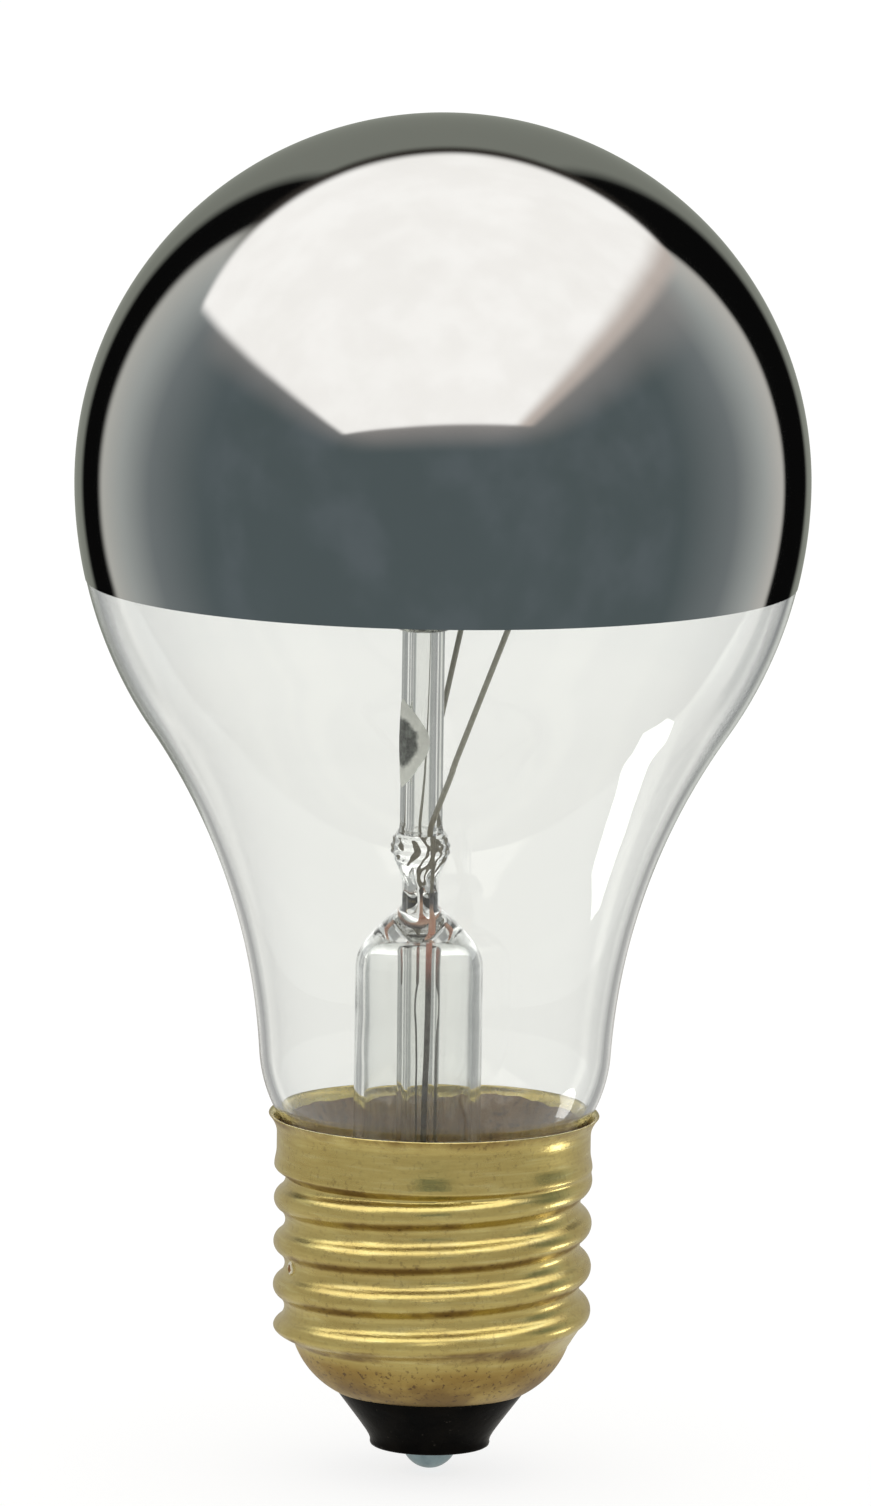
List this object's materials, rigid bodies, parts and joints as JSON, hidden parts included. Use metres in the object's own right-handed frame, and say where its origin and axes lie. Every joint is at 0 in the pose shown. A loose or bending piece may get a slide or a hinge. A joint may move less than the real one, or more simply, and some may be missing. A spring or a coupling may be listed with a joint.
{
  "type": "incandescent bulb",
  "caption": "Clear glass incandescent bulb with a mirrored crown, a hooked horseshoe filament on a glass stem and a brass screw cap with a black insulator and centre contact.",
  "frame": {"origin": "tip of the centre contact, on the lamp's axis", "axes": "+Z along the lamp's axis from the centre contact to the mirrored crown, -Y towards the camera of the picture, +X to its right"},
  "size_m": [0.0602, 0.0602, 0.1121],
  "materials": {
    "clear_glass": "polished",
    "mirror_silver": "polished",
    "stem_glass": "polished",
    "tungsten": "satin",
    "nickel_wire": "satin",
    "copper_seal_wire": "satin",
    "outer_lead_wire": "satin",
    "support_wire": "satin",
    "getter_paint": "matte",
    "shell_brass": "satin",
    "black_glass": "gloss",
    "eyelet_brass": "satin",
    "solder": "satin",
    "weld_metal": "matte",
    "cement": "matte"
  },
  "bodies": {
    "root": {"glass_bulb": "clear_glass", "mirror_coating": "mirror_silver", "stem_flare": "stem_glass", "exhaust_tube": "stem_glass", "arbor": "stem_glass", "filament": "tungsten", "inner_lead_front": "nickel_wire", "inner_lead_back": "nickel_wire", "seal_wire_front": "copper_seal_wire", "seal_wire_back": "copper_seal_wire", "centre_lead": "outer_lead_wire", "side_lead": "outer_lead_wire", "support_front": "support_wire", "support_left": "support_wire", "support_back": "support_wire", "getter_spot": "getter_paint", "screw_shell": "shell_brass", "cap_insulator": "black_glass", "centre_contact": "eyelet_brass", "centre_solder": "solder", "side_weld": "weld_metal", "capping_cement": "cement"}
  },
  "joints": []
}
